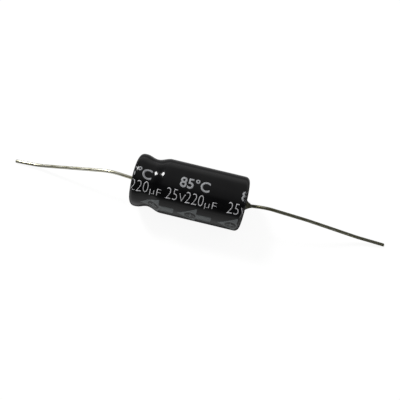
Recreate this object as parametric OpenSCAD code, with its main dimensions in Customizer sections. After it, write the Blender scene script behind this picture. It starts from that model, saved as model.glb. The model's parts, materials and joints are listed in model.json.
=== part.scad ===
// Axial electrolytic capacitor, lying on its side with both wire leads bent down to the table.
// The body's axis runs along X, the crimped positive end faces -X and the table is at Z = 0.

/* [Body outline] */
// Diameter of the body over its sleeve
body_d = 10; // [9.5:0.1:13]
// Length of the body over its sleeve
body_len = 20.2; // [18:0.1:32]
// Diameter of the crimped end over its sleeve
shoulder_d = 9.66; // [9.3:0.02:9.8]
// Diameter at the bottom of the rolled groove, over the sleeve
groove_d = 8.7; // [8.5:0.02:9.2]
// Radius of the curled rim, over the sleeve
curl_r = 0.9; // [0.8:0.02:1]
// Plain ring between the curled rim and the groove
shoulder_len = 0.3; // [0.1:0.02:0.6]
// From the plain ring down to the bottom of the groove
groove_in = 2.1; // [1.8:0.02:2.6]
// From the bottom of the groove up to the full diameter
groove_out = 2.5; // [2:0.02:3]
// Corner radius at the closed end, over the sleeve
base_corner_r = 0.86; // [0.75:0.01:1.1]

/* [Sleeve] */
// Thickness of the shrunk plastic film
sleeve_t = 0.2; // [0.12:0.01:0.26]
// How far the film goes round the curled rim, in degrees
sleeve_wrap_angle = 150; // [100:5:165]
// Width of film that lies flat on the closed end
sleeve_fold = 0.6; // [0.3:0.05:1.2]
// Air between the film and the can
sleeve_gap = 0.01; // [0.005:0.001:0.02]

/* [Can] */
// Thickness of the drawn aluminium
can_t = 0.35; // [0.25:0.01:0.38]

/* [Seal] */
// Thickness of the rubber disc at its middle
rubber_t = 1.1; // [0.9:0.02:1.3]
// Height of the rubber's middle above the curled lip
rubber_boss = 0.3; // [0.15:0.01:0.45]
// Thickness of the hard board disc under the rubber
board_t = 0.9; // [0.6:0.02:1.1]
// Clearance round the discs and in their holes
seal_fit = 0.02; // [0.01:0.005:0.04]

/* [Positive terminal] */
// Diameter of the rivet's shank
shank_d = 1.2; // [0.9:0.05:1.5]
// Diameter of the rivet's outer head
head_d = 2.4; // [2:0.05:3]
// Thickness of the rivet's outer head
head_t = 0.35; // [0.25:0.01:0.45]
// Diameter of the rivet's spread inner end
spread_d = 1.9; // [1.7:0.05:2.1]
// Thickness of the rivet's spread inner end
spread_t = 0.3; // [0.2:0.01:0.45]
// Diameter of the washer under the spread end
washer_d = 2.6; // [2.2:0.05:3.2]
// Thickness of the washer
washer_t = 0.2; // [0.15:0.01:0.35]

/* [Winding] */
// Diameter of the hole that the winding pin leaves
core_d = 2; // [1.6:0.05:2.6]
// Thickness of the etched anode foil
anode_foil_t = 0.1; // [0.08:0.005:0.13]
// Thickness of the cathode foil
cathode_foil_t = 0.06; // [0.05:0.005:0.1]
// Thickness of each paper separator
paper_t = 0.08; // [0.06:0.005:0.11]
// Air between neighbouring layers
layer_gap = 0.02; // [0.015:0.001:0.03]
// Air between the winding and the can's wall
winding_gap = 0.1; // [0.05:0.01:0.3]
// From the winding to the can's base
base_gap = 0.6; // [0.4:0.02:1.5]
// How far the paper stands past the foil at each end
foil_margin = 0.7; // [0.4:0.05:1.2]
// Width of the tape that closes the winding
tape_w = 6; // [3:0.1:9]
// Thickness of the closing tape
tape_t = 0.06; // [0.04:0.005:0.08]

/* [Tabs] */
// Width of each foil tab
tab_w = 1.6; // [1.3:0.05:1.8]
// How far a tab reaches into its foil
tab_depth = 4; // [2:0.1:6]
// Diameter of the eye round the rivet
eye_d = 2.2; // [2:0.05:2.8]

/* [Leads] */
// Diameter of the tinned wire
lead_d = 0.6; // [0.5:0.02:0.8]
// Reach of the positive lead past the rivet
anode_reach = 24; // [16:0.1:45]
// Reach of the negative lead past the can
cathode_reach = 28.1; // [18:0.1:45]
// Curve of the hand-made bends, to the wire's middle, where the legs leave room for it
bend_r = 8; // [4:0.2:9]
// Turn of the positive lead's plane towards the front, in degrees
anode_lean_angle = 4.6; // [0:0.2:12]
// Turn of the negative lead's plane towards the back, in degrees
cathode_lean_angle = 4.8; // [0:0.2:12]
// Diameter of the weld under the negative lead
cathode_weld_d = 2.8; // [2:0.05:3.4]
// Length of the weld under the negative lead
cathode_weld_len = 1.45; // [1:0.05:1.6]
// Diameter of the weld under the positive lead
anode_weld_d = 1.2; // [1:0.05:1.6]
// Length of the weld under the positive lead
anode_weld_len = 0.5; // [0.3:0.05:1]

/* [Hidden] */
$fn = 64;

// Flat steps round a curled rim, a groove's flank, a corner and a weld
CURL_STEPS = 12;
FLANK_STEPS = 8;
CORNER_STEPS = 6;
WELD_STEPS = 6;

// A wire's legs run this far into their bends, which are a hair thicker, so that they join soundly,
// and the first leg starts as far inside its weld
leg_overlap = 0.1;
bend_swell = 0.01;

// The most of a leg that one of its bends may take
LEG_SHARE = 0.45;

// The origin lies on the table under the middle between the two lead tips
reach_shift = (anode_reach - cathode_reach) / 2;
axis_z = body_d / 2;

// Places along the axis, from the crimped end to the closed end
end_x = reach_shift - body_len / 2;
base_x = reach_shift + body_len / 2;
curl_x = end_x + curl_r;
shoulder_x = curl_x + shoulder_len;
groove_x = shoulder_x + groove_in;
full_x = groove_x + groove_out;

// Depths under the sleeve's surface
can_depth = sleeve_t + sleeve_gap;
inner_depth = can_depth + can_t;

// The curled rim's own circle
curl_mid_r = shoulder_d / 2 - curl_r;
lip_r = curl_mid_r - (curl_r - can_depth);

// The seal's stack
rubber_x = curl_x - rubber_boss;
board_x = rubber_x + rubber_t;
eye_x = board_x + board_t;
washer_x = eye_x + anode_foil_t;
spread_x = washer_x + washer_t;
head_x = rubber_x - head_t;

// The winding's room and its turns
winding_x = full_x;
winding_end_x = base_x - inner_depth - base_gap;
winding_max_r = body_d / 2 - inner_depth - winding_gap;
pitch = anode_foil_t + cathode_foil_t + 2 * paper_t + 4 * layer_gap;
inner_paper_r = core_d / 2;
anode_r = inner_paper_r + paper_t + layer_gap;
outer_paper_r = anode_r + anode_foil_t + layer_gap;
cathode_r = outer_paper_r + paper_t + layer_gap;
tape_end = floor((winding_max_r - tape_t - inner_paper_r - pitch / 4) / (pitch / 2));
paper_end = tape_end - 2;
foil_end = paper_end - 1;

// The foils' last half turn makes one side of the winding heavier, and that side faces the table
settling_angle = foil_end % 2 == 0 ? -90 : 90;

// The half turns that carry the tabs, about half way out
anode_tab_turn = 2 * round(tape_end / 4);
cathode_tab_turn = anode_tab_turn + 1;

// How each lead was bent by hand, as shares of its reach and of its whole drop
ANODE_SET = [[0.035, 0], [0.2, -0.15], [0.81, 0.9], [1, 1]];
CATHODE_SET = [[0.035, 0], [0.146, -0.267], [0.434, 0.092], [0.803, 0.792], [1, 1]];

// Height of the body's turned outline over the axis at a place in the groove, 0 to 1 along a flank
function flank_r(from_d, to_d, u) = (from_d + (to_d - from_d) * (1 - cos(180 * u)) / 2) / 2;

// The turned outline at a depth under the sleeve's surface, as [radius, place along the axis],
// from the curled rim, which it enters at the angle given, to the corner of the closed end
function outline(depth, wrap) = concat(
    [for (i = [0 : CURL_STEPS])
        let (a = wrap * (1 - i / CURL_STEPS))
        [curl_mid_r + (curl_r - depth) * cos(a), curl_x - (curl_r - depth) * sin(a)]],
    [for (i = [0 : FLANK_STEPS])
        let (u = i / FLANK_STEPS)
        [flank_r(shoulder_d, groove_d, u) - depth, shoulder_x + groove_in * u]],
    [for (i = [1 : FLANK_STEPS])
        let (u = i / FLANK_STEPS)
        [flank_r(groove_d, body_d, u) - depth, groove_x + groove_out * u]],
    [for (i = [0 : CORNER_STEPS])
        let (a = 90 * i / CORNER_STEPS, r = base_corner_r - depth)
        [body_d / 2 - base_corner_r + r * cos(a), base_x - base_corner_r + r * sin(a)]]
);

// The can's inside radius on the flank between the rim and the groove
function seat_r(x) = flank_r(shoulder_d, groove_d, (x - shoulder_x) / groove_in) - inner_depth;

function reversed(list) = [for (i = [len(list) - 1 : -1 : 0]) list[i]];

// Turns a profile of [radius, place along the axis] about the body's axis
module turned() {
    translate([0, 0, axis_z])
        rotate([0, 90, 0])
            rotate_extrude()
                children();
}

// A round blank with a hole, between two places along the axis
module turned_ring(outer_r, hole_r, from_x, to_x) {
    turned()
        translate([hole_r, from_x])
            square([outer_r - hole_r, to_x - from_x]);
}

module sleeve() {
    skin = outline(0, sleeve_wrap_angle);
    lining = outline(sleeve_t, sleeve_wrap_angle);
    fold_r = body_d / 2 - base_corner_r - sleeve_fold;
    fold = [[fold_r, base_x], [fold_r, base_x - sleeve_t]];
    color([0.05, 0.05, 0.055])
        turned()
            polygon(concat(skin, fold, reversed(lining)));
}

module can() {
    outside = outline(can_depth, 180);
    inside = outline(inner_depth, 180);
    base = [[0, base_x - can_depth], [0, base_x - inner_depth]];
    color([0.78, 0.79, 0.8])
        turned()
            polygon(concat(outside, base, reversed(inside)));
}

// The rubber's rim swells into the curl and its edge follows the flank of the groove
module seal_rubber() {
    hole_r = shank_d / 2 + seal_fit;
    face_x = curl_x + seal_fit;
    wall = [for (i = [0 : FLANK_STEPS])
        let (x = shoulder_x + (board_x - shoulder_x) * i / FLANK_STEPS)
        [seat_r(x) - seal_fit, x]];
    color([0.12, 0.12, 0.12])
        turned() {
            polygon(concat(
                [[hole_r, rubber_x], [lip_r - seal_fit, rubber_x], [lip_r - seal_fit, face_x]],
                [[seat_r(shoulder_x) - seal_fit, face_x]],
                wall,
                [[hole_r, board_x]]
            ));
            translate([curl_mid_r, face_x])
                circle(r = curl_r - inner_depth - seal_fit);
        }
}

module seal_board() {
    color([0.45, 0.27, 0.14])
        turned_ring(seat_r(eye_x) - seal_fit, shank_d / 2 + seal_fit, board_x, eye_x);
}

module anode_rivet() {
    rim = spread_t / 3;
    color([0.8, 0.8, 0.8])
        turned()
            polygon([
                [0, head_x], [head_d / 2, head_x], [head_d / 2, rubber_x], [shank_d / 2, rubber_x],
                [shank_d / 2, spread_x], [spread_d / 2, spread_x], [spread_d / 2, spread_x + rim],
                [spread_d / 2 - rim, spread_x + spread_t], [0, spread_x + spread_t]
            ]);
}

module anode_washer() {
    color([0.7, 0.71, 0.72])
        turned_ring(washer_d / 2, shank_d / 2 + seal_fit, washer_x, spread_x);
}

// Puts a piece of the winding on the body's axis, built upright about Z from the winding's start
module on_axis() {
    translate([0, 0, axis_z])
        rotate([0, 90, 0])
            rotate([0, 0, settling_angle])
                children();
}

// The two centres of the spiral lie a quarter of a pitch either side of the axis
function centre_of(turn) = (turn % 2 == 0 ? -1 : 1) * pitch / 4;

// A stretch of one half turn, as wide as it is thick at the radius of its layer
module arc_of(turn, layer_r, thick, start, angle, from_x, to_x) {
    translate([centre_of(turn), 0, from_x])
        rotate_extrude(angle = angle, start = start)
            translate([layer_r + turn * pitch / 2, 0])
                square([thick, to_x - from_x]);
}

// One strip of the winding. Each half turn is half a pitch larger than the one before and the centres
// change sides, so the ends meet and the strip runs on as an even spiral
module strip(layer_r, thick, first, last, from_x, to_x) {
    for (turn = [first : last])
        arc_of(turn, layer_r, thick, (turn % 2) * 180, 180, from_x, to_x);
}

// The angle at which a tab's middle lies over the axis, and half the angle that it covers
function tab_mid(turn, layer_r) =
    let (a = acos(-centre_of(turn) / (layer_r + turn * pitch / 2)))
    turn % 2 == 0 ? a : 360 - a;
function tab_half(turn, layer_r, width) = asin(width / 2 / (layer_r + turn * pitch / 2));

// The stretch of a foil's layer that a tab takes, with some clearance for its notch
module tab_arc(turn, layer_r, thick, fit, from_x, to_x) {
    half = tab_half(turn, layer_r, tab_w + 2 * fit);
    arc_of(turn, layer_r - fit, thick + 2 * fit, tab_mid(turn, layer_r) - half, 2 * half, from_x, to_x);
}

// A tab's flat end, from its fold to the axis
module tab_end(turn, layer_r, thick, from_x) {
    outer_r = layer_r + turn * pitch / 2 + thick;
    intersection() {
        translate([centre_of(turn), 0, from_x])
            cylinder(r = outer_r, h = thick);
        translate([-tab_w / 2, turn % 2 == 0 ? 0 : -outer_r, from_x])
            cube([tab_w, outer_r, thick]);
    }
    translate([0, 0, from_x])
        cylinder(d = eye_d, h = thick);
}

module anode_foil() {
    foil_x = winding_x + foil_margin;
    color([0.62, 0.63, 0.64])
        on_axis()
            difference() {
                strip(anode_r, anode_foil_t, 1, foil_end, foil_x, winding_end_x - foil_margin);
                tab_arc(anode_tab_turn, anode_r, anode_foil_t, layer_gap, foil_x - 1, foil_x + tab_depth);
            }
}

module cathode_foil() {
    foil_end_x = winding_end_x - foil_margin;
    color([0.74, 0.75, 0.76])
        on_axis()
            difference() {
                strip(cathode_r, cathode_foil_t, 1, foil_end, winding_x + foil_margin, foil_end_x);
                tab_arc(cathode_tab_turn, cathode_r, cathode_foil_t, layer_gap,
                    foil_end_x - tab_depth, foil_end_x + 1);
            }
}

module inner_separator() {
    color([0.85, 0.8, 0.66])
        on_axis()
            strip(inner_paper_r, paper_t, 0, paper_end, winding_x, winding_end_x);
}

module outer_separator() {
    color([0.82, 0.77, 0.63])
        on_axis()
            strip(outer_paper_r, paper_t, 0, paper_end, winding_x, winding_end_x);
}

// The tape follows on where the inner separator ends and goes once round the winding
module closing_tape() {
    mid_x = (winding_x + winding_end_x) / 2;
    color([0.9, 0.88, 0.7])
        on_axis()
            strip(inner_paper_r, tape_t, paper_end + 1, tape_end, mid_x - tape_w / 2, mid_x + tape_w / 2);
}

module anode_tab() {
    foil_x = winding_x + foil_margin;
    color([0.75, 0.76, 0.77])
        on_axis()
            difference() {
                union() {
                    tab_arc(anode_tab_turn, anode_r, anode_foil_t, 0, eye_x, foil_x + tab_depth - layer_gap);
                    tab_end(anode_tab_turn, anode_r, anode_foil_t, eye_x);
                }
                translate([0, 0, eye_x - anode_foil_t])
                    cylinder(d = shank_d + 2 * seal_fit, h = 3 * anode_foil_t);
            }
}

module cathode_tab() {
    weld_x = base_x - inner_depth;
    foil_end_x = winding_end_x - foil_margin;
    color([0.75, 0.76, 0.77])
        on_axis() {
            tab_arc(cathode_tab_turn, cathode_r, cathode_foil_t, 0,
                foil_end_x - tab_depth + layer_gap, weld_x);
            tab_end(cathode_tab_turn, cathode_r, cathode_foil_t, weld_x - cathode_foil_t);
        }
}

// Length and heading of a leg of a flat route, and the turn at its knees
function leg_len(route, i) = norm(route[i + 1] - route[i]);
function heading(route, i) = atan2(route[i + 1].y - route[i].y, route[i + 1].x - route[i].x);
function bend_turn(route, i) = heading(route, i) - heading(route, i - 1);

// How far a bend reaches along its legs: as its radius asks, or most of the shorter leg's half
function bend_reach(route, i) = min(
    bend_r * tan(abs(bend_turn(route, i)) / 2),
    LEG_SHARE * min(leg_len(route, i - 1), leg_len(route, i))
);
function leg_trim(route, i) = i == 0 || i == len(route) - 1 ? 0 : bend_reach(route, i) - leg_overlap;
function along(angle) = [cos(angle), sin(angle)];

// A round wire in the XY plane: straight legs joined by exact arcs
module wire(route) {
    last = len(route) - 2;
    for (i = [0 : last]) {
        h = heading(route, i);
        start = route[i] + along(h) * leg_trim(route, i);
        end = route[i + 1] - along(h) * leg_trim(route, i + 1);
        translate([start.x, start.y, 0])
            rotate([0, 90, h])
                cylinder(d = lead_d, h = norm(end - start));
    }
    for (i = [1 : last]) {
        turn = bend_turn(route, i);
        reach = bend_reach(route, i);
        radius = reach / tan(abs(turn) / 2);
        h = heading(route, i - 1);
        centre = route[i] - along(h) * reach + along(h + 90 * sign(turn)) * radius;
        first = turn > 0 ? h - 90 : heading(route, i) + 90;
        translate([centre.x, centre.y, 0])
            rotate([0, 0, first])
                rotate_extrude(angle = abs(turn))
                    translate([radius, 0])
                        circle(d = lead_d + bend_swell);
    }
}

// The weld at a lead's root, spread over what carries it and drawn in to the wire
module weld(root_d, length) {
    rotate([0, 90, 0])
        rotate_extrude()
            polygon(concat(
                [[0, 0]],
                [for (i = [0 : WELD_STEPS])
                    let (u = i / WELD_STEPS, wire_r = (lead_d - bend_swell) / 2)
                    [wire_r + (root_d / 2 - wire_r) * pow(1 - u, 1.4), length * u]],
                [[0, length]]
            ));
}

// A lead that runs along +X from the axis and comes down to the table at its tip
module lead(set, reach, lean_angle, weld_d, weld_len) {
    drop = (axis_z - lead_d / 2) / cos(lean_angle);
    route = concat([[leg_overlap, 0]], [for (p = set) [p.x * reach, -p.y * drop]]);
    rotate([90 + lean_angle, 0, 0])
        wire(route);
    weld(weld_d, weld_len);
}

module anode_lead() {
    color([0.5, 0.49, 0.42])
        translate([head_x, 0, axis_z])
            rotate([0, 0, 180])
                lead(ANODE_SET, anode_reach, anode_lean_angle, anode_weld_d, anode_weld_len);
}

module cathode_lead() {
    color([0.5, 0.49, 0.42])
        translate([base_x - can_depth, 0, axis_z])
            lead(CATHODE_SET, cathode_reach, cathode_lean_angle, cathode_weld_d, cathode_weld_len);
}

sleeve();
can();
seal_rubber();
seal_board();
anode_rivet();
anode_washer();
anode_tab();
anode_lead();
anode_foil();
cathode_foil();
inner_separator();
outer_separator();
closing_tape();
cathode_tab();
cathode_lead();
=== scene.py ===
# %% [markdown]
# # An axial electrolytic capacitor
# The part is an aluminium can of 10 by 20 mm in a black shrunk film sleeve. One end is crimped over
# a rubber seal with a rolled groove beside it, the other end is closed, and a tinned wire leaves each
# end. The solids come in model.glb, with everything in metres: the body's axis runs along X,
# the crimped end faces -X and the table is at Z = 0. This lesson dresses them: a fresh film sleeve
# with its silver print, finer metal, rubber and wire, real surfaces, a table and soft light.

import json
import math

import bpy
from mathutils import Matrix, Vector

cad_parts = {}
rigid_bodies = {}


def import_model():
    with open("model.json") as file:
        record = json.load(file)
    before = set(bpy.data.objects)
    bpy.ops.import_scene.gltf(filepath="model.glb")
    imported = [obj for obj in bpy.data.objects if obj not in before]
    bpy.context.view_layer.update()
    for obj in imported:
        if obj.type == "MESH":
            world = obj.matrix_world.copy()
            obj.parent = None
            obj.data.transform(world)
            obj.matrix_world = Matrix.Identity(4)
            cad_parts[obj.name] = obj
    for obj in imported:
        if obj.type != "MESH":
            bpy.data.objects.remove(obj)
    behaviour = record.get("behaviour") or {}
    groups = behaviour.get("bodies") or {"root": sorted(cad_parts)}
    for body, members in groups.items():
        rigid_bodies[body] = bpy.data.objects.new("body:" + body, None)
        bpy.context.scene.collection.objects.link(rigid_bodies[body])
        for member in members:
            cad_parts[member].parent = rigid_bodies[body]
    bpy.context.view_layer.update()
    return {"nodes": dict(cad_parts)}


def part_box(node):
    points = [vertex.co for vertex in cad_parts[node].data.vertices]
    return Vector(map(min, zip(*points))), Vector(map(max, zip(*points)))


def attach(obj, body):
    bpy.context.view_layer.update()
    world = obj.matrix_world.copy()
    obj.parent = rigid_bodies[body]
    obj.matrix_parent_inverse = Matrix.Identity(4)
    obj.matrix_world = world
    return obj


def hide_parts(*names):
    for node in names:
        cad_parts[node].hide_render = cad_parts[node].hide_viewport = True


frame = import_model()
MM = 0.001
print("nodes:", ", ".join(sorted(frame["nodes"])))

# %% [markdown]
# ## Where things are
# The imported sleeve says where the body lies, so every new piece is set from its box. The values
# after it are the body's own sizes in millimetres, the same that the solids were drawn with. They
# are kept as names, because the sleeve, the can and the seal all follow the same outline at
# different depths.

# %% Read the body's place
sleeve_low, sleeve_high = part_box("sleeve")
AXIS_Z = (sleeve_low.z + sleeve_high.z) / 2 / MM
BODY_R = (sleeve_high.z - sleeve_low.z) / 2 / MM
CRIMP_X = sleeve_low.x / MM
BASE_X = sleeve_high.x / MM
MIDDLE = Vector(((CRIMP_X + BASE_X) / 2, 0, AXIS_Z)) * MM
print(f"body: radius {BODY_R:.2f} mm, from x {CRIMP_X:.2f} to {BASE_X:.2f} mm")

# %% Name the body's own sizes, in millimetres
SHOULDER_R = 4.83
GROOVE_R = 4.35
CURL_R = 0.9
SHOULDER_LEN = 0.3
GROOVE_IN = 2.1
GROOVE_OUT = 2.5
CORNER_R = 0.86
FILM_T = 0.2
FILM_GAP = 0.01
CAN_T = 0.35
CURL_MID_R = SHOULDER_R - CURL_R
CURL_X = CRIMP_X + CURL_R
SHOULDER_X = CURL_X + SHOULDER_LEN
GROOVE_X = SHOULDER_X + GROOVE_IN
FULL_X = GROOVE_X + GROOVE_OUT
CORNER_X = BASE_X - CORNER_R
print(f"the groove's bottom is at x {GROOVE_X:.2f} mm, the full diameter starts at {FULL_X:.2f} mm")

# %% [markdown]
# ## The camera
# The photograph looks down steeply, 70 degrees above the table, from close by, so the near end of
# the body looks a little larger. The camera's own axes are worked out from its elevation, azimuth
# and roll, and its place from the distance and from the point that it aims at. Building the matrix
# from three axes keeps the roll exact, which Euler angles make hard to read.

# %% Set up the camera
ELEVATION = math.radians(70)
AZIMUTH = math.radians(2.163)
ROLL = math.radians(11.413)
DISTANCE = 80 * MM
AIM = (1.866 * MM, -1.501 * MM)
FOCAL_PIXELS = 442.575
PICTURE_WIDTH = 400

back = Vector((
    math.sin(AZIMUTH) * math.cos(ELEVATION),
    -math.cos(AZIMUTH) * math.cos(ELEVATION),
    math.sin(ELEVATION),
))
level = Vector((0, 0, 1)).cross(back).normalized()
upright = back.cross(level)
across = level * math.cos(ROLL) + upright * math.sin(ROLL)
above = upright * math.cos(ROLL) - level * math.sin(ROLL)
stand = MIDDLE + back * DISTANCE + across * AIM[0] + above * AIM[1]
lens = bpy.data.cameras.new("photo_lens")
lens.sensor_width = 36
lens.lens = FOCAL_PIXELS / PICTURE_WIDTH * lens.sensor_width
lens.clip_start = 2 * MM
camera = bpy.data.objects.new("photo_camera", lens)
camera.matrix_world = Matrix((
    (across.x, above.x, back.x, stand.x),
    (across.y, above.y, back.y, stand.y),
    (across.z, above.z, back.z, stand.z),
    (0, 0, 0, 1),
))
bpy.context.scene.collection.objects.link(camera)
bpy.context.scene.camera = camera
bpy.context.scene.view_settings.view_transform = "Standard"
print(f"camera: {lens.lens:.2f} mm lens, {DISTANCE / MM:.0f} mm away")

# %% [markdown]
# ## Helpers for surfaces
# Colours are written as sRGB hex values, as in any paint program, and Blender wants them linear, so
# one function turns them. Another adds one node to a material with its settings, its values and its
# links. Noise is scaled by the size of its grains: Object coordinates are in metres, so a grain of
# one millimetre needs a scale of 1000.

# %% Define the helpers for surfaces
def linear(hex_colour):
    """An sRGB hex value as a linear colour with alpha."""
    parts = [int(hex_colour[i : i + 2], 16) / 255 for i in (1, 3, 5)]
    return [c / 12.92 if c <= 0.04045 else ((c + 0.055) / 1.055) ** 2.4 for c in parts] + [1]


def add_node(tree, kind, values=None, links=None, **settings):
    """Adds a node with its settings, its values and the outputs that feed it."""
    node = tree.nodes.new(kind)
    for name, value in settings.items():
        setattr(node, name, value)
    for name, value in (values or {}).items():
        node.inputs[name].default_value = value
    for name, output in (links or {}).items():
        tree.links.new(output, node.inputs[name])
    return node


def grains(size_mm):
    """The scale of a pattern in Object coordinates whose grains are this large."""
    return 1 / (size_mm * MM)


def start_surface(name, **shader_values):
    """A material with its shader's own values, and the object coordinates for its patterns."""
    surface = bpy.data.materials.new(name)
    surface.use_nodes = True
    tree = surface.node_tree
    shader = tree.nodes["Principled BSDF"]
    for key, value in shader_values.items():
        shader.inputs[key.replace("_", " ")].default_value = value
    place = add_node(tree, "ShaderNodeTexCoord").outputs["Object"]
    return surface, tree, shader, place


def set_ramp(ramp, *stops):
    """Gives a colour ramp its stops, each a place from 0 to 1 and a linear colour."""
    while len(ramp.elements) < len(stops):
        ramp.elements.new(0.5)
    for element, (where, colour) in zip(ramp.elements, stops):
        element.position = where
        element.color = colour


# %% Define a surface that follows one noise
def mix_surface(name, tones, grain, roughness, relief, stretch=(1, 1, 1), **shader_values):
    """Tone, roughness and relief follow one noise; its grain and the relief are in millimetres."""
    surface, tree, shader, place = start_surface(name, **shader_values)
    drawn = add_node(tree, "ShaderNodeMapping", {"Scale": stretch}, {"Vector": place})
    noise = add_node(
        tree, "ShaderNodeTexNoise", {"Scale": grains(grain), "Detail": 4, "Roughness": 0.65},
        {"Vector": drawn.outputs["Vector"]},
    )
    tint = add_node(tree, "ShaderNodeValToRGB", links={"Fac": noise.outputs["Fac"]})
    step = 0.36 / (len(tones) - 1)
    set_ramp(tint.color_ramp, *((0.32 + i * step, linear(tone)) for i, tone in enumerate(tones)))
    dull = add_node(
        tree, "ShaderNodeMapRange",
        {"From Min": 0.3, "From Max": 0.7, "To Min": roughness[0], "To Max": roughness[1]},
        {"Value": noise.outputs["Fac"]},
    )
    bump = add_node(
        tree, "ShaderNodeBump", {"Strength": 1, "Distance": relief * MM}, {"Height": noise.outputs["Fac"]}
    )
    tree.links.new(tint.outputs["Color"], shader.inputs["Base Color"])
    tree.links.new(dull.outputs["Result"], shader.inputs["Roughness"])
    tree.links.new(bump.outputs["Normal"], shader.inputs["Normal"])
    print(f"{name}: {len(tree.nodes)} nodes")
    return surface


# %% [markdown]
# ## Light
# A glossy black film shows its surroundings more than its own colour, so the studio matters. It is
# a white sheet on a table, a soft pale wall behind and overhead, a dark front, and one small lamp
# high up to the left, which makes the two white glints beside the groove. One ramp over the angle
# from the back horizon over the zenith to the front horizon gives gloss its walls. A low bright
# panel at the front right draws the thin line on the closed end's corner, and the far left is darker,
# as the crimped rim shows. For everything that isn't gloss the sky is one even tone, so colours render
# as they are written.

# %% Make the sky
AMBIENT = 0.52
WALLS = (
    (0.0, 0.72), (0.08, 0.66), (0.14, 0.47), (0.38, 0.45), (0.5, 0.33), (0.56, 0.27), (0.63, 0.06),
    (0.86, 0.03), (0.92, 0.18), (0.97, 0.6), (1.0, 0.85),
)
SIDE_PANEL = 4
LEFT_SHARE = 0.2
sky = bpy.data.worlds.new("studio")
sky.use_nodes = True
bpy.context.scene.world = sky
tree = sky.node_tree
tree.nodes.clear()
direction = add_node(tree, "ShaderNodeTexCoord").outputs["Generated"]
split = add_node(tree, "ShaderNodeSeparateXYZ", links={"Vector": direction})
turn = add_node(
    tree, "ShaderNodeMath", links={0: split.outputs["Z"], 1: split.outputs["Y"]}, operation="ARCTAN2"
)
share = add_node(tree, "ShaderNodeMath", {1: math.pi}, {0: turn.outputs[0]}, operation="DIVIDE")
walls = add_node(tree, "ShaderNodeValToRGB", links={"Fac": share.outputs[0]})
set_ramp(walls.color_ramp, *((where, (tone, tone, tone, 1)) for where, tone in WALLS))
path = add_node(tree, "ShaderNodeLightPath")
even = add_node(tree, "ShaderNodeBackground", {"Color": (1, 1, 1, 1), "Strength": AMBIENT})
to_side = add_node(
    tree, "ShaderNodeMapRange", {"From Min": 0.45, "From Max": 0.65, "To Max": SIDE_PANEL},
    {"Value": split.outputs["X"]},
)
low_down = add_node(
    tree, "ShaderNodeMapRange", {"From Min": 0.2, "From Max": 0.12}, {"Value": split.outputs["Z"]}
)
in_front = add_node(
    tree, "ShaderNodeMapRange", {"From Min": -0.1, "From Max": -0.35}, {"Value": split.outputs["Y"]}
)
low_side = add_node(
    tree, "ShaderNodeMath", links={0: to_side.outputs["Result"], 1: low_down.outputs["Result"]},
    operation="MULTIPLY",
)
panel = add_node(
    tree, "ShaderNodeMath", links={0: low_side.outputs[0], 1: in_front.outputs["Result"]},
    operation="MULTIPLY",
)
from_left = add_node(
    tree, "ShaderNodeMapRange", {"From Min": -0.75, "From Max": -0.3, "To Min": LEFT_SHARE},
    {"Value": split.outputs["X"]},
)
darker = add_node(
    tree, "ShaderNodeMath", links={0: walls.outputs["Color"], 1: from_left.outputs["Result"]},
    operation="MULTIPLY",
)
brighter = add_node(
    tree, "ShaderNodeMath", links={0: darker.outputs[0], 1: panel.outputs[0]}, operation="MAXIMUM"
)
shown = add_node(tree, "ShaderNodeBackground", {"Strength": 1}, {"Color": brighter.outputs[0]})
white = add_node(tree, "ShaderNodeBackground", {"Color": (1, 1, 1, 1), "Strength": 1})
in_gloss = add_node(
    tree, "ShaderNodeMath", operation="MAXIMUM",
    links={0: path.outputs["Is Glossy Ray"], 1: path.outputs["Is Transmission Ray"]},
)
lit = add_node(
    tree, "ShaderNodeMixShader", links={0: in_gloss.outputs[0], 1: even.outputs[0], 2: shown.outputs[0]}
)
all_sky = add_node(
    tree, "ShaderNodeMixShader",
    links={0: path.outputs["Is Camera Ray"], 1: lit.outputs[0], 2: white.outputs[0]},
)
add_node(tree, "ShaderNodeOutputWorld", links={"Surface": all_sky.outputs[0]})
print("sky:", len(tree.nodes), "nodes")

# %% Hang the small lamp
LAMP_WAY = Vector((-0.56, 0.43, 0.71)).normalized()
LAMP_DISTANCE = 0.44
LAMP_SIDE = 0.1
LAMP_TONE = 46
lamp = bpy.data.lights.new("small_softbox", "AREA")
lamp.shape = "SQUARE"
lamp.size = LAMP_SIDE
lamp.energy = LAMP_TONE * math.pi * LAMP_SIDE**2
holder = bpy.data.objects.new("small_softbox", lamp)
holder.location = MIDDLE + LAMP_WAY * LAMP_DISTANCE
holder.rotation_euler = LAMP_WAY.to_track_quat("Z", "Y").to_euler()
bpy.context.scene.collection.objects.link(holder)
print(f"lamp: {lamp.energy:.2f} W at {LAMP_DISTANCE} m")
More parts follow.
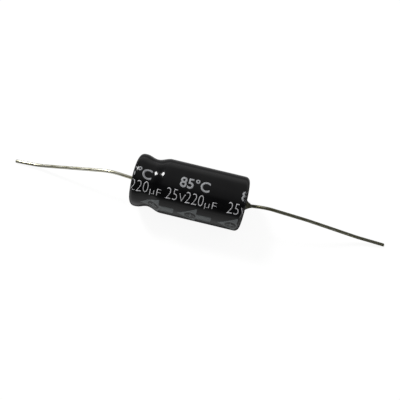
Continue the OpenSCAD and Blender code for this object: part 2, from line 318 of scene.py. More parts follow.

# %% [markdown]
# ## The table
# The photograph has a plain white ground. The table is a matt white sheet that glows a little for the
# camera, so it reads as white while it keeps a pale shadow. In gloss it isn't that white: there the
# sheet carries painted shade. It is bright in front of the part, has a painted contact shadow close
# beside it and painted half shade behind it, and that gives the film its grey rims with the thin dark
# line inside them.

# %% Lay the table
TABLE_HALF = 1.0
GLOW_SHARE = 0.86
GLOW = 1.05
SHEET_RANGE = 0.2
FIBRE = 0.4
# Painted shade, seen only in gloss: the sheet's colour along Y is darkened beside the part as a contact shadow and
# behind it as half shade.
PAINTED_SHEET_SHADE = (
    (0.0, "#f0f0f0"), (0.462, "#f0f0f0"), (0.469, "#8c8c8c"), (0.475, "#6c6c6c"), (0.525, "#808080"),
    (0.54, "#a8a8a8"), (0.6, "#7c7c7c"), (0.7, "#808080"), (0.85, "#b4b4b4"), (1.0, "#c8c8c8"),
)
bpy.ops.object.select_all(action="DESELECT")
bpy.ops.mesh.primitive_plane_add(size=2 * TABLE_HALF, location=(0, 0, 0))
table = bpy.context.object
table.name = "table"
sheet = bpy.data.materials.new("matt_white_paper")
sheet.use_nodes = True
tree = sheet.node_tree
tree.nodes.clear()
place = add_node(tree, "ShaderNodeTexCoord").outputs["Object"]
depth = add_node(tree, "ShaderNodeSeparateXYZ", links={"Vector": place})
along_y = add_node(
    tree, "ShaderNodeMapRange", {"From Min": -SHEET_RANGE / 2, "From Max": SHEET_RANGE / 2},
    {"Value": depth.outputs["Y"]},
)
shade = add_node(tree, "ShaderNodeValToRGB", links={"Fac": along_y.outputs["Result"]})
set_ramp(shade.color_ramp, *((where, linear(tone)) for where, tone in PAINTED_SHEET_SHADE))
fibres = add_node(
    tree, "ShaderNodeTexNoise", {"Scale": grains(FIBRE), "Detail": 4, "Roughness": 0.7}, {"Vector": place}
)
tooth = add_node(
    tree, "ShaderNodeBump", {"Strength": 1, "Distance": 0.004 * MM}, {"Height": fibres.outputs["Fac"]}
)
tint = add_node(tree, "ShaderNodeValToRGB", links={"Fac": fibres.outputs["Fac"]})
set_ramp(tint.color_ramp, (0.3, linear("#ededeb")), (0.7, linear("#f3f3f3")))
matt = add_node(
    tree, "ShaderNodeBsdfDiffuse", links={"Color": tint.outputs["Color"], "Normal": tooth.outputs["Normal"]}
)
# Gloss rays see the sheet in this painted shade.
half_shade = add_node(tree, "ShaderNodeBsdfDiffuse", links={"Color": shade.outputs["Color"]})
glow = add_node(tree, "ShaderNodeEmission", {"Color": (1, 1, 1, 1), "Strength": GLOW})
path = add_node(tree, "ShaderNodeLightPath")
in_gloss = add_node(
    tree, "ShaderNodeMixShader",
    links={0: path.outputs["Is Glossy Ray"], 1: matt.outputs[0], 2: half_shade.outputs[0]},
)
in_view = add_node(
    tree, "ShaderNodeMath", {1: GLOW_SHARE}, {0: path.outputs["Is Camera Ray"]}, operation="MULTIPLY"
)
mixed = add_node(
    tree, "ShaderNodeMixShader", links={0: in_view.outputs[0], 1: in_gloss.outputs[0], 2: glow.outputs[0]}
)
add_node(tree, "ShaderNodeOutputMaterial", links={"Surface": mixed.outputs[0]})
table.data.materials.append(sheet)
print("table:", 2 * TABLE_HALF, "m wide")

# %% [markdown]
# ## How turned pieces are made
# The sleeve, the can, the seal and the rivet are all round about the body's axis. By hand one would
# put down a single point, extrude it step by step into the piece's outline, and spin that outline
# about the axis. A lathe works the same way, and the outline stays easy to read in millimetres.

# %% Define how a turned piece is made
def edit(piece):
    """Opens one piece for editing, with all of it selected."""
    bpy.ops.object.select_all(action="DESELECT")
    piece.select_set(True)
    bpy.context.view_layer.objects.active = piece
    bpy.ops.object.mode_set(mode="EDIT")
    bpy.ops.mesh.select_all(action="SELECT")


def draw_outline(name, points, closed=False):
    """Extrudes a point along [radius, x] places in millimetres, in the plane above the axis."""
    places = [Vector((x, 0, AXIS_Z + radius)) * MM for radius, x in points]
    bpy.ops.object.select_all(action="DESELECT")
    bpy.ops.mesh.primitive_plane_add(size=MM, location=places[0])
    piece = bpy.context.object
    piece.name = piece.data.name = name
    edit(piece)
    bpy.ops.mesh.merge(type="CENTER")
    for here, there in zip(places, places[1:] + places[:1] * closed):
        bpy.ops.mesh.extrude_region_move(TRANSFORM_OT_translate={"value": there - here})
    bpy.ops.object.mode_set(mode="OBJECT")
    return piece


def spin_outline(piece, steps):
    """Spins the drawn outline once round the body's axis and closes it."""
    edit(piece)
    bpy.ops.mesh.spin(steps=steps, angle=2 * math.pi, center=(0, 0, AXIS_Z * MM), axis=(1, 0, 0))
    close_up(piece)
    return piece


def close_up(piece):
    """Merges what meets, turns faces outwards and settles the piece in its place."""
    bpy.ops.mesh.select_all(action="SELECT")
    bpy.ops.mesh.remove_doubles(threshold=MM / 2000)
    bpy.ops.mesh.normals_make_consistent(inside=False)
    bpy.ops.object.mode_set(mode="OBJECT")
    bpy.ops.object.transform_apply(location=True, rotation=True, scale=True)
    bpy.ops.object.shade_smooth()


def finish_with(piece, kind, **settings):
    """Adds a modifier and applies it."""
    bpy.ops.object.select_all(action="DESELECT")
    piece.select_set(True)
    bpy.context.view_layer.objects.active = piece
    modifier = piece.modifiers.new(kind.lower(), kind)
    for name, value in settings.items():
        setattr(modifier, name, value)
    bpy.ops.object.modifier_apply(modifier=modifier.name)


def roughen(piece, name, size_mm, depth_mm):
    """Moves a surface in and out by soft clouds, as handling and tools leave it."""
    clouds = bpy.data.textures.new(name, "CLOUDS")
    clouds.noise_scale = size_mm * MM
    finish_with(piece, "DISPLACE", texture=clouds, texture_coords="LOCAL", strength=depth_mm * MM)


def wear(piece, surface, slot_name, *nodes):
    """Gives a piece its surface and its body, and hides the solids it stands for. The slot name is not used."""
    piece.data.materials.clear()
    piece.data.materials.append(surface)
    if nodes:
        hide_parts(*nodes)
    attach(piece, "root")
    piece.data.calc_loop_triangles()
    print(f"{piece.name}: {len(piece.data.loop_triangles)} triangles")


# %% [markdown]
# ## The body's outline
# The sleeve and the can share one outline: a curled rim, a short plain ring, the rolled groove with
# its smooth flanks, the long side, and a rounded corner. One function gives it at any depth under
# the surface, so the film and the metal nest without touching.

# %% Define the body's outline
def flank(from_r, to_r, from_x, length, steps):
    """A smooth flank of the groove, as [radius, x] places."""
    shares = [i / steps for i in range(steps + 1)]
    rise = (to_r - from_r) / 2
    return [(from_r + rise * (1 - math.cos(math.pi * u)), from_x + length * u) for u in shares]


def body_outline(depth, wrap):
    """The outline at a depth, from an angle round the curled rim to the end of the corner."""
    rim = [
        (
            CURL_MID_R + (CURL_R - depth) * math.cos(math.radians(a)),
            CURL_X - (CURL_R - depth) * math.sin(math.radians(a)),
        )
        for a in range(wrap, -1, -10)
    ]
    down = flank(SHOULDER_R - depth, GROOVE_R - depth, SHOULDER_X, GROOVE_IN, 12)
    up = flank(GROOVE_R - depth, BODY_R - depth, GROOVE_X, GROOVE_OUT, 14)[1:]
    side = [(BODY_R - depth, FULL_X + (CORNER_X - FULL_X) * i / 14) for i in range(1, 14)]
    corner = [
        (
            BODY_R - CORNER_R + (CORNER_R - depth) * math.cos(math.radians(a)),
            CORNER_X + (CORNER_R - depth) * math.sin(math.radians(a)),
        )
        for a in range(0, 91, 10)
    ]
    return rim + down + up + side + corner


print(len(body_outline(0, 150)), "places in the outline")

# %% [markdown]
# ## Shrunk film
# The sleeve is PVC film, dyed black in the mass and stretched in making. Hot air shrank it tight, so
# it is glossy with faint long ripples, and a little dust and handling dulls it here and there. Plain
# paint would be flat: two noises, one for tint and dullness and one for ripples, do the rest.

# %% Mix the film's surface
FILM_CLOUD = 2.6
FILM_RIPPLE = 1.4
film, tree, shader, place = start_surface("shrunk_black_pvc", Specular_IOR_Level=0.25)
cloud = add_node(
    tree, "ShaderNodeTexNoise", {"Scale": grains(FILM_CLOUD), "Detail": 5, "Roughness": 0.6}, {"Vector": place}
)
tint = add_node(tree, "ShaderNodeValToRGB", links={"Fac": cloud.outputs["Fac"]})
set_ramp(tint.color_ramp, (0.3, linear("#060607")), (0.7, linear("#0c0c0d")))
tree.links.new(tint.outputs["Color"], shader.inputs["Base Color"])
dull = add_node(
    tree, "ShaderNodeMapRange", {"From Min": 0.3, "From Max": 0.7, "To Min": 0.05, "To Max": 0.13},
    {"Value": cloud.outputs["Fac"]},
)
tree.links.new(dull.outputs["Result"], shader.inputs["Roughness"])
drawn_out = add_node(tree, "ShaderNodeMapping", {"Scale": (0.4, 1, 1)}, {"Vector": place})
ripple = add_node(
    tree, "ShaderNodeTexNoise", {"Scale": grains(FILM_RIPPLE), "Detail": 2}, {"Vector": drawn_out.outputs["Vector"]}
)
relief = add_node(
    tree, "ShaderNodeBump", {"Strength": 1, "Distance": 0.006 * MM}, {"Height": ripple.outputs["Fac"]}
)
tree.links.new(relief.outputs["Normal"], shader.inputs["Normal"])
print(film.name, len(tree.nodes), "nodes")

# %% [markdown]
# ## The film sleeve
# The film follows the can's rim, its groove and its corner, and a narrow hem lies on each end, where
# it has shrunk inwards after being cut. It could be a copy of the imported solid, but that one is made
# of flat facets. Spun again finer, thickened inwards and smoothed once, it takes light evenly, and
# a slow cloud pushes it in and out by a hundredth of a millimetre, as real film lies.

# %% Make the film sleeve
FILM_WRAP = 150
FILM_FOLD = 0.6
SPIN_STEPS = 96
hem = [(BODY_R - CORNER_R - FILM_FOLD * i / 3, BASE_X) for i in range(1, 4)]
sleeve = spin_outline(draw_outline("film_sleeve", body_outline(0, FILM_WRAP) + hem), SPIN_STEPS)
finish_with(sleeve, "SOLIDIFY", thickness=FILM_T * MM, offset=-1, use_even_offset=True)
finish_with(sleeve, "SUBSURF", levels=1, render_levels=1)
roughen(sleeve, "shrink_waves", 4, 0.02)
bpy.ops.object.shade_smooth()
wear(sleeve, film, "sleeve_film", "sleeve")

# %% [markdown]
# ## Silver ink
# The print is a silver-grey ink rolled on thin, so it is matt, a little uneven, and darker where the
# roller left less. Thin figures are the lightest grey and heavy ones a darker grey. The broad band is
# the darkest, and that is painted shade: the band faces sideways, away from the light.
# Fine noise changes the grey from place to place within a stroke.

# %% Mix the three strengths of ink
INK_FLECK = 0.18
figure_ink = mix_surface(
    "silver_ink", ("#a0a0a3", "#c2c2c4"), INK_FLECK, (0.4, 0.6), 0.002, Specular_IOR_Level=0.3
)
heavy_ink = mix_surface(
    "broad_silver_ink", ("#7c7d80", "#989a9c"), INK_FLECK, (0.4, 0.6), 0.002, Specular_IOR_Level=0.3
)
# Painted shade: the band's ink is set darkest because the band faces sideways, away from the light.
shaded_band_ink = mix_surface(
    "silver_ink_painted_shade", ("#45494a", "#606465"), INK_FLECK, (0.3, 0.5), 0.002, Specular_IOR_Level=0.3
)

# %% [markdown]
# ## How a mark gets onto the film
# The ink was put on while the film was still a flat tube, so rows repeat along the body and stop
# where the film was cut. Here a mark is drawn flat, cut into small pieces so that it can bend,
# held over its row and projected straight down with a shrinkwrap. Wrapping by hand-made formulas
# would work on the plain side only, and the shrinkwrap also follows the groove.

# %% Define how a mark is laid onto the film
INK_T = 0.012
CUT = 0.16
HOLD_OFF = 1
EDGE_GAP = 0.3


def lay_on(piece, angle, surface):
    """Cuts a flat mark, drawn about its row's middle with x along the body, and lays it on the film."""
    edit(piece)
    height = max(abs(v.co.y) for v in piece.data.vertices) / MM
    reach = [v.co.x / MM for v in piece.data.vertices]
    rows = math.ceil(height / CUT)
    columns = range(math.ceil(min(reach) / CUT / 2), math.ceil(max(reach) / CUT / 2))
    lines = [((0, i * CUT * MM, 0), (0, 1, 0)) for i in range(-rows, rows + 1)]
    lines += [((i * 2 * CUT * MM, 0, 0), (1, 0, 0)) for i in columns]
    for point, normal in lines:
        bpy.ops.mesh.select_all(action="SELECT")
        bpy.ops.mesh.bisect(plane_co=point, plane_no=normal)
    for edge_x, side in ((CRIMP_X + EDGE_GAP, -1), (BASE_X - EDGE_GAP, 1)):
        bpy.ops.mesh.select_all(action="SELECT")
        bpy.ops.mesh.bisect(plane_co=(edge_x * MM, 0, 0), plane_no=(side, 0, 0), clear_outer=True)
    bpy.ops.mesh.select_all(action="SELECT")
    bpy.ops.mesh.remove_doubles(threshold=MM / 300)
    bpy.ops.mesh.dissolve_degenerate(threshold=MM / 300)
    bpy.ops.mesh.delete_loose()
    bpy.ops.object.mode_set(mode="OBJECT")
    turn = math.radians(angle)
    outwards = Vector((0, -math.sin(turn), math.cos(turn)))
    piece.rotation_euler = (turn, 0, 0)
    piece.location = outwards * (BODY_R + HOLD_OFF) * MM + Vector((0, 0, AXIS_Z * MM))
    bpy.context.view_layer.update()
    finish_with(
        piece, "SHRINKWRAP", target=sleeve, wrap_method="PROJECT", use_project_z=True,
        use_negative_direction=True, use_positive_direction=False, offset=INK_T * MM,
    )
    bpy.ops.object.transform_apply(location=True, rotation=True, scale=True)
    finish_with(piece, "SOLIDIFY", thickness=INK_T * MM, offset=-1)
    bpy.ops.object.shade_smooth()
    wear(piece, surface, "sleeve_film")


def join(pieces, name):
    """Makes one piece of several."""
    bpy.ops.object.select_all(action="DESELECT")
    for piece in pieces:
        piece.select_set(True)
    bpy.context.view_layer.objects.active = pieces[0]
    bpy.ops.object.join()
    pieces[0].name = pieces[0].data.name = name
    return pieces[0]


def repeat(mark, *steps):
    """Copies a mark by these steps along the body, as the roller did, and makes one piece of all."""
    copies = [mark]
    for step in steps:
        bpy.ops.object.select_all(action="DESELECT")
        mark.select_set(True)
        bpy.context.view_layer.objects.active = mark
        bpy.ops.object.duplicate_move(TRANSFORM_OT_translate={"value": (step * MM, 0, 0)})
        bpy.ops.object.transform_apply(location=True, rotation=True, scale=True)
        copies.append(bpy.context.object)
    return join(copies, mark.name)


# %% [markdown]
# ## The figures
# The rows are plain, common values and no particular make's: a capacity and a voltage in thin narrow
# figures, and a temperature in heavy ones. A text object gives clean shapes from the built-in font.
# Its outline is made thinner or fatter, it becomes a mesh, and then it is scaled to the height and
# width that the figures have on the film. The film was drawn into the groove as it shrank, which
# pulled the copy beside the crimped end towards the middle, so each row has a pull of its own.

# %% Define how a word of figures is made
def figures(words, height, left, width, weight, foot):
    """Flat figures of a height, from x left over a width, with their feet at y foot, in millimetres."""
    bpy.ops.object.select_all(action="DESELECT")
    bpy.ops.object.text_add(location=(0, 0, 0))
    text = bpy.context.object
    text.data.body = words
    text.data.offset = weight
    text.data.resolution_u = 4
    bpy.ops.object.convert(target="MESH")
    piece = bpy.context.object
    xs = [v.co.x for v in piece.data.vertices]
    top = max(v.co.y for v in piece.data.vertices)
    edit(piece)
    bpy.ops.transform.translate(value=(-min(xs), 0, 0))
    bpy.ops.transform.resize(
        value=(width * MM / (max(xs) - min(xs)), height * MM / top, 1), center_override=(0, 0, 0)
    )
    bpy.ops.transform.translate(value=(left * MM, foot * MM, 0))
    bpy.ops.object.mode_set(mode="OBJECT")
    return piece


# %% Print the rating row
PRINT_PITCH = 10.75
RATING_ANGLE = 33.3
RATING_PULL = 1
FIGURE_H = 1.98
THIN = -0.021
CAPACITY = (("220", FIGURE_H, -2.3, 3.1), ("µF", 1.25, 1.15, 2.0))
VOLTAGE = (("25", FIGURE_H, 5.05, 1.95), ("V", 1.45, 7.3, 1.1))
rows = []
for row, step in ((CAPACITY, RATING_PULL - PRINT_PITCH), (VOLTAGE, -PRINT_PITCH)):
    words = [figures(text, height, left, width, THIN, -FIGURE_H / 2) for text, height, left, width in row]
    rows.append(repeat(join(words, "rating_words"), step))
lay_on(join(rows, "rating_print"), RATING_ANGLE, figure_ink)

# %% Print the temperature row
HEAT_ANGLE = 3.7
HEAT_PULL = 0.55
HEAT_H = 1.89
FAT = 0.02
heat = figures("85°C", HEAT_H, -3.8, 5.2, FAT, -HEAT_H / 2)
heat.name = heat.data.name = "temperature_print"
lay_on(repeat(heat, HEAT_PULL - PRINT_PITCH, PRINT_PITCH), HEAT_ANGLE, heavy_ink)

# %% [markdown]
# ## The polarity band
# A row of broad arrows points to the positive end. Each head leaves an oval of bare film with a plus
# sign in it. The head is an oval ring bridged to a triangle, so the oval is a true hole, and the
# plus is a small square with its four sides extruded.

# %% Define one arrow
HEAD_LEN = 3.4
HEAD_HALF = 1.84
SHAFT_HALF = 0.7
SHAFT_LEN = 2.68
OVAL_X = 2.4
OVAL = (1.02, 0.76)
PLUS_HALF = 0.13
PLUS_ARM = (0.6, 0.42)


def flat_arrow(apex_x):
    """One arrow with its oval and plus sign, flat, its tip at x and its middle on y 0."""
    bpy.ops.object.select_all(action="DESELECT")
    bpy.ops.mesh.primitive_circle_add(vertices=24, radius=MM, location=((apex_x + OVAL_X) * MM, 0, 0))
    head = bpy.context.object
    edit(head)
    bpy.ops.transform.resize(value=(OVAL[0], OVAL[1], 1))
    bpy.ops.object.mode_set(mode="OBJECT")
    bpy.ops.mesh.primitive_circle_add(vertices=3, radius=MM, location=(0, 0, 0), rotation=(0, 0, math.pi / 2))
    rim = bpy.context.object
    bpy.ops.object.transform_apply(location=True, rotation=True, scale=True)
    edit(rim)
    # Three points on a circle reach 1 radius to the tip, half of one to the base and cos 30 to each side.
    bpy.ops.transform.resize(
        value=(HEAD_LEN / 1.5, HEAD_HALF / math.cos(math.radians(30)), 1), center_override=(0, 0, 0)
    )
    bpy.ops.transform.translate(value=((apex_x + HEAD_LEN / 1.5) * MM, 0, 0))
    bpy.ops.mesh.subdivide(number_cuts=7)
    bpy.ops.object.mode_set(mode="OBJECT")
    head = join([head, rim], "arrow_head")
    edit(head)
    bpy.ops.mesh.bridge_edge_loops()
    bpy.ops.object.mode_set(mode="OBJECT")
    bpy.ops.object.transform_apply(location=True, rotation=True, scale=True)
    bpy.ops.mesh.primitive_plane_add(size=MM, location=((apex_x + HEAD_LEN + SHAFT_LEN / 2) * MM, 0, 0))
    shaft = bpy.context.object
    edit(shaft)
    bpy.ops.transform.resize(value=(SHAFT_LEN, 2 * SHAFT_HALF, 1))
    bpy.ops.object.mode_set(mode="OBJECT")
    bpy.ops.object.transform_apply(location=True, rotation=True, scale=True)
    return join([head, shaft, plus_sign(apex_x + OVAL_X)], "arrow")


def plus_sign(middle_x):
    """A flat plus sign: a small square whose four sides are extruded."""
    bpy.ops.object.select_all(action="DESELECT")
    bpy.ops.mesh.primitive_plane_add(size=2 * PLUS_HALF * MM, location=(middle_x * MM, 0, 0))
    plus = bpy.context.object
    bpy.ops.object.transform_apply(location=True, rotation=True, scale=True)
    for x, y in ((1, 0), (-1, 0), (0, 1), (0, -1)):
        edit(plus)
        bpy.ops.mesh.select_mode(type="EDGE")
        bpy.ops.mesh.select_all(action="DESELECT")
        bpy.ops.object.mode_set(mode="OBJECT")
        for edge in plus.data.edges:
            ends = [plus.data.vertices[i].co - Vector((middle_x * MM, 0, 0)) for i in edge.vertices]
            edge.select = all(
                abs(e.x * x + e.y * y - PLUS_HALF * MM) < MM / 1000
                and abs(e.x * y + e.y * x) < 1.01 * PLUS_HALF * MM
                for e in ends
            )
        bpy.ops.object.mode_set(mode="EDIT")
        arm = PLUS_ARM[0] if x else PLUS_ARM[1]
        bpy.ops.mesh.extrude_region_move(TRANSFORM_OT_translate={"value": (x * arm * MM, y * arm * MM, 0)})
        bpy.ops.mesh.select_mode(type="VERT")
        bpy.ops.object.mode_set(mode="OBJECT")
    return plus


# %% Print the polarity band
ARROW_ANGLE = 74
ARROW_PITCH = 7.19
ARROW_PULL = 0.5
ARROW_APEX = -3.33
arrow = flat_arrow(ARROW_APEX)
arrow.name = arrow.data.name = "polarity_print"
lay_on(repeat(arrow, ARROW_PULL - ARROW_PITCH, ARROW_PITCH), ARROW_ANGLE, shaded_band_ink)

# %% [markdown]
# ## Drawn aluminium
# The can is deep-drawn from pure aluminium sheet. Drawing leaves fine lines along the wall and faint
# rings on the base, and the bare metal is satin, not mirror. Rings come from a wave over the distance
# to the axis, and a noise keeps them from being perfect.

# %% Mix the can's surface
RING_STEP = 0.09
can_metal, tree, shader, place = start_surface("satin_can_aluminium", Metallic=1)
to_axis = add_node(tree, "ShaderNodeMapping", {"Location": (0, 0, -AXIS_Z * MM)}, {"Vector": place})
cloud = add_node(
    tree, "ShaderNodeTexNoise", {"Scale": grains(0.5), "Detail": 6, "Roughness": 0.6}, {"Vector": place}
)
tint = add_node(tree, "ShaderNodeValToRGB", links={"Fac": cloud.outputs["Fac"]})
set_ramp(tint.color_ramp, (0.3, linear("#b4b7ba")), (0.7, linear("#d3d5d7")))
tree.links.new(tint.outputs["Color"], shader.inputs["Base Color"])
dull = add_node(
    tree, "ShaderNodeMapRange", {"To Min": 0.26, "To Max": 0.46}, {"Value": cloud.outputs["Fac"]}
)
tree.links.new(dull.outputs["Result"], shader.inputs["Roughness"])
rings = add_node(
    tree, "ShaderNodeTexWave", {"Scale": grains(RING_STEP) / 20, "Distortion": 1.5, "Detail": 3},
    {"Vector": to_axis.outputs["Vector"]}, wave_type="RINGS", rings_direction="X",
)
relief = add_node(
    tree, "ShaderNodeBump", {"Strength": 0.5, "Distance": 0.006 * MM}, {"Height": rings.outputs["Fac"]}
)
tree.links.new(relief.outputs["Normal"], shader.inputs["Normal"])
print(can_metal.name, len(tree.nodes), "nodes")

# %% [markdown]
# ## The can
# Only the can's two ends show. At the closed end a faint pressed ring runs round the weld, and at the
# other the wall is curled inwards onto the rubber. The can is spun again with the film's outline at a
# deeper level, so the two nest, and its inside is drawn too, because a can is a real cup.

# %% Make the can
LIP_WRAP = 180
RING_R = 2.4
RING_HALF = 0.2
RING_DEPTH = 0.09
outer_depth = FILM_T + FILM_GAP
inner_depth = outer_depth + CAN_T
outside = body_outline(outer_depth, LIP_WRAP)
face_x = BASE_X - outer_depth
pressed = [
    (RING_R + RING_HALF, face_x), (RING_R + RING_HALF / 2, face_x - RING_DEPTH * 0.6), (RING_R, face_x - RING_DEPTH),
    (RING_R - RING_HALF / 2, face_x - RING_DEPTH * 0.6), (RING_R - RING_HALF, face_x), (1.6, face_x), (0.8, face_x),
    (0, face_x),
]
inside = [(0, BASE_X - inner_depth), (2, BASE_X - inner_depth)] + body_outline(inner_depth, LIP_WRAP)[::-1]
can = spin_outline(draw_outline("drawn_can", inside + outside + pressed), 64)
wear(can, can_metal, "drawn_aluminium", "can")

# %% [markdown]
# ## Seal rubber
# The seal is a moulded disc of black rubber, dull, with a fine grain from the mould and a little pale
# dust. Its middle stands a little proud between the curled lip and the rivet, with a soft edge and
# one moulded ring.

# %% Mix the rubber's surface
rubber = mix_surface(
    "moulded_black_rubber", ("#191817", "#232221", "#34322f"), 0.12, (0.6, 0.85), 0.007,
    Specular_IOR_Level=0.35,
)

# %% Make the seal
rubber_low, rubber_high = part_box("seal_rubber")
SEAL_X = rubber_low.x / MM
SEAL_END = rubber_high.x / MM
SEAL_R = (rubber_high.z - rubber_low.z) / 2 / MM
SHANK_R = 0.6
SHANK_GAP = 0.02
LIP_R = CURL_MID_R - (CURL_R - outer_depth)
LIP_GAP = 0.02
SOFT = 0.12
RIDGE_R = 2.1
RIDGE_HALF = 0.1
RIDGE_RISE = 0.09
hole_r = SHANK_R + SHANK_GAP
edge_r = LIP_R - LIP_GAP
face = [
    (hole_r, SEAL_X), (RIDGE_R - RIDGE_HALF, SEAL_X), (RIDGE_R, SEAL_X - RIDGE_RISE),
    (RIDGE_R + RIDGE_HALF, SEAL_X), (edge_r - SOFT, SEAL_X), (edge_r - SOFT / 3, SEAL_X + SOFT / 3),
    (edge_r, SEAL_X + SOFT), (edge_r, CURL_X),
]
under_curl = [
    (
        CURL_MID_R + (CURL_R - inner_depth - LIP_GAP) * math.cos(math.radians(a)),
        CURL_X - (CURL_R - inner_depth - LIP_GAP) * math.sin(math.radians(a)),
    )
    for a in range(170, -1, -17)
]
wall = [(SEAL_R, SHOULDER_X), (SEAL_R - SOFT, SEAL_END), (hole_r, SEAL_END)]
seal = spin_outline(draw_outline("seal_disc", face + under_curl + wall, closed=True), 64)
wear(seal, rubber, "rubber", "seal_rubber")

# %% [markdown]
# ## The positive terminal
# An aluminium rivet clamps the winding's positive strip and carries the current out through the seal.
# Its outer head is upset cold, so its rim is rounded and its face a little domed. It's turned like
# the rest, with the spread inner head that holds the washer.

# %% Make the rivet
terminal = mix_surface(
    "upset_aluminium", ("#a9abac", "#c4c6c7", "#d8d9da"), 0.3, (0.25, 0.5), 0.006, Metallic=1
)
rivet_low, rivet_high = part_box("anode_rivet")
washer_low, washer_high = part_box("anode_washer")
HEAD_X = rivet_low.x / MM
HEAD_R = (rivet_high.z - rivet_low.z) / 2 / MM
HEAD_EDGE = 0.2
SPREAD_X = washer_high.x / MM
SPREAD_R = 1
SPREAD_RIM = 0.1
rivet_end = rivet_high.x / MM
head = [(0, HEAD_X), (HEAD_R - 2 * HEAD_EDGE, HEAD_X + 0.02)]
head += [
    (
        HEAD_R - HEAD_EDGE + HEAD_EDGE * math.cos(math.radians(a)),
        HEAD_X + 0.03 + HEAD_EDGE - HEAD_EDGE * math.sin(math.radians(a)),
    )
    for a in range(80, -1, -20)
]
shank = [(HEAD_R, SEAL_X - 0.01), (SHANK_R, SEAL_X - 0.01), (SHANK_R, SPREAD_X)]
spread = [
    (SPREAD_R, SPREAD_X), (SPREAD_R, SPREAD_X + SPREAD_RIM), (SPREAD_R - SPREAD_RIM, rivet_end), (0, rivet_end),
]
rivet = spin_outline(draw_outline("upset_rivet", head + shank + spread), 48)
finish_with(rivet, "BEVEL", width=0.02 * MM, segments=2, limit_method="ANGLE")
wear(rivet, terminal, "terminal_aluminium", "anode_rivet")

# %% [markdown]
# ## The two wires
# Each wire was bent by hand: it leaves the body straight, dips or rises, and comes down to the table
# at its cut tip. It's made in the same way. A ring is extruded along each straight leg and spun
# round each bend, then flattened at the tip, where side cutters nipped it to a short wedge that lies
# flat on the table. A curve with a round profile would be quicker, but it couldn't carry that tip.

# %% Mix the wires' and the weld's surfaces
# Painted highlight: the positive wire's tin is set brighter than the negative wire's, though both are the same
# tinned wire.
tin_with_painted_highlight = mix_surface(
    "tin_plating_painted_highlight", ("#b0ad95", "#cbc8ae", "#cfcec2", "#e6e2c9"), 0.5, (0.26, 0.44), 0.008,
    (0.35, 1, 1), Metallic=1,
)
# Painted shade: the negative wire's tin is set darker than the positive wire's, though both are the same tinned
# wire.
tin_with_painted_shade = mix_surface(
    "tin_plating_painted_shade", ("#5c5a49", "#6b6955", "#6e6e64", "#7b7966"), 0.5, (0.32, 0.5), 0.01,
    (0.35, 1, 1), Metallic=1,
)
weld_metal = mix_surface(
    "dull_weld", ("#26261b", "#404032", "#605d4c"), 0.35, (0.45, 0.7), 0.03, Metallic=0.8
)

# %% Define how a wire is bent
WIRE_R = 0.3
WIRE_SIDES = 20
BEND_R = 8
BEND_STEP = math.radians(6)
LEG_STEP = 0.9
LEG_SHARE = 0.45
NIP_LEN = 0.14
NIP_SHARES = (0.92, 0.72)


def lead_corners(shares, reach, lean, root_x, way):
    """The corners of a wire's middle line, from shares of its reach and of its drop to the table."""
    drop = (AXIS_Z - WIRE_R) / math.cos(lean)
    flat = [(0, 0)] + [(x * reach, -y * drop) for x, y in shares]
    return [
        Vector((root_x + way * x, -way * y * math.sin(lean), AXIS_Z + y * math.cos(lean))) * MM for x, y in flat
    ]


def draw_on(along):
    """Extrudes the last ring along a straight leg, in short even pieces."""
    pieces = max(1, round(along.length / MM / LEG_STEP))
    for _ in range(pieces):
        bpy.ops.mesh.extrude_region_move(TRANSFORM_OT_translate={"value": along / pieces})


def bend_wire(name, corners):
    """A round wire along these corners, with hand-made bends and a nipped tip."""
    bpy.ops.object.select_all(action="DESELECT")
    bpy.ops.mesh.primitive_circle_add(
        vertices=WIRE_SIDES, radius=WIRE_R * MM, location=corners[0], rotation=(0, math.pi / 2, 0)
    )
    wire = bpy.context.object
    wire.name = wire.data.name = name
    edit(wire)
    here = corners[0]
    heading = (corners[1] - corners[0]).normalized()
    for before, corner, after in zip(corners, corners[1:], corners[2:]):
        onward = (after - corner).normalized()
        turn = heading.angle(onward)
        room = LEG_SHARE * min((corner - before).length, (after - corner).length)
        reach = min(BEND_R * MM * math.tan(turn / 2), room)
        start = corner - heading * reach
        draw_on(start - here)
        normal = heading.cross(onward).normalized()
        middle = start + normal.cross(heading) * reach / math.tan(turn / 2)
        bpy.ops.mesh.spin(steps=max(2, round(turn / BEND_STEP)), angle=-turn, center=middle, axis=normal)
        here = corner + onward * reach
        heading = onward
    tip = corners[-1]
    draw_on(tip - heading * NIP_LEN * MM - here)
    for left_over, share in zip((0.5, 0), NIP_SHARES):
        bpy.ops.mesh.extrude_region_move(TRANSFORM_OT_translate={"value": heading * NIP_LEN * MM / 2})
        bpy.ops.transform.resize(
            value=(1, 1, share), center_override=tip - heading * NIP_LEN * MM * left_over
        )
    bpy.ops.mesh.select_all(action="SELECT")
    bpy.ops.mesh.fill_holes(sides=0)
    close_up(wire)
    roughen(wire, name + "_draw_marks", 0.9, 0.015)
    bpy.ops.object.shade_smooth_by_angle(angle=math.radians(40))
    return wire


# %% Bend both wires
ANODE_SHARES = ((0.035, 0), (0.2, -0.15), (0.81, 0.9), (1, 1))
CATHODE_SHARES = ((0.035, 0), (0.146, -0.267), (0.434, 0.092), (0.803, 0.792), (1, 1))
ANODE_REACH = 24
CATHODE_REACH = 28.1
ANODE_LEAN = math.radians(4.6)
CATHODE_LEAN = math.radians(4.8)
ROOT_X = BASE_X - outer_depth
anode_wire = bend_wire("anode_wire", lead_corners(ANODE_SHARES, ANODE_REACH, ANODE_LEAN, HEAD_X, -1))
wear(anode_wire, tin_with_painted_highlight, "tinned_wire", "anode_lead")
cathode_wire = bend_wire(
    "cathode_wire", lead_corners(CATHODE_SHARES, CATHODE_REACH, CATHODE_LEAN, ROOT_X, 1)
)
wear(cathode_wire, tin_with_painted_shade, "tinned_wire", "cathode_lead")

# %% [markdown]
# ## The welds
# The wire is butt-welded to the can's base, and the metal flows out into a broad dull cone. At the
# rivet the weld is only a small collar. Both are spun from a curve that falls quickly and then runs
# out along the wire, and soft clouds make them as uneven as molten metal sets.

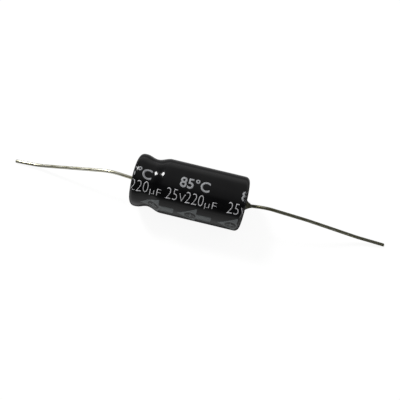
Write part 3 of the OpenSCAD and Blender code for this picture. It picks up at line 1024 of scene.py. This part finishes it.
# %% Make the welds
def make_weld(name, root_x, way, root_r, length, uneven):
    """A cone of set metal from its root to where it thins out on the wire."""
    bore = WIRE_R * 0.9
    shares = [i / 12 for i in range(13)]
    slope = [(bore, root_x)] + [
        (WIRE_R + 0.01 + (root_r - WIRE_R) * (1 - u) ** 1.4, root_x + way * length * u) for u in shares
    ]
    weld = spin_outline(draw_outline(name, slope + [(bore, root_x + way * length)], closed=True), 48)
    roughen(weld, name + "_flow", 0.7, uneven)
    wear(weld, weld_metal, "tinned_wire", "anode_lead" if way < 0 else "cathode_lead")


make_weld("anode_weld", HEAD_X + 0.02, -1, 0.6, 0.48, 0.05)
make_weld("cathode_weld", ROOT_X, 1, 1.4, 1.6, 0.12)

# %% [markdown]
# ## What is inside
# The winding, its strips and the seal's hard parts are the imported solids, which are right as they
# are, so they only get their surfaces. Etched foil is dull and speckled by acid, plain foil is
# rolled bright along its length, the paper is fibrous and soaked, and the board is brown resin and
# paper with flecks.

# %% Give the inner solids their surfaces
etched = mix_surface(
    "acid_etched_aluminium", ("#8f9192", "#a2a4a5", "#b4b5b6"), 0.06, (0.6, 0.85), 0.006, Metallic=1
)
rolled = mix_surface(
    "rolled_aluminium", ("#b0b2b4", "#c2c4c6", "#d0d1d3"), 0.2, (0.25, 0.45), 0.002, (0.1, 1, 1),
    Metallic=1,
)
paper = mix_surface(
    "soaked_kraft_paper", ("#b9a77c", "#cbbb92", "#dccfab"), 0.15, (0.55, 0.85), 0.012, (0.4, 1, 1)
)
tape = mix_surface("pale_yellow_tape", ("#d3c896", "#dcd3a6", "#e4dcb6"), 0.8, (0.15, 0.35), 0.004)
board = mix_surface("brown_resin_board", ("#54301a", "#6b4126", "#7d5233"), 0.1, (0.5, 0.75), 0.006)
inner_surfaces = {
    "seal_board": board, "anode_washer": terminal, "anode_tab": terminal, "cathode_tab": terminal,
    "anode_foil": etched, "cathode_foil": rolled, "inner_separator": paper, "outer_separator": paper,
    "closing_tape": tape,
}
for name, surface in inner_surfaces.items():
    node = frame["nodes"][name]
    for slot in node.material_slots:
        slot.material = surface
    if not node.material_slots:
        node.data.materials.append(surface)
    print(name, "wears", surface.name)
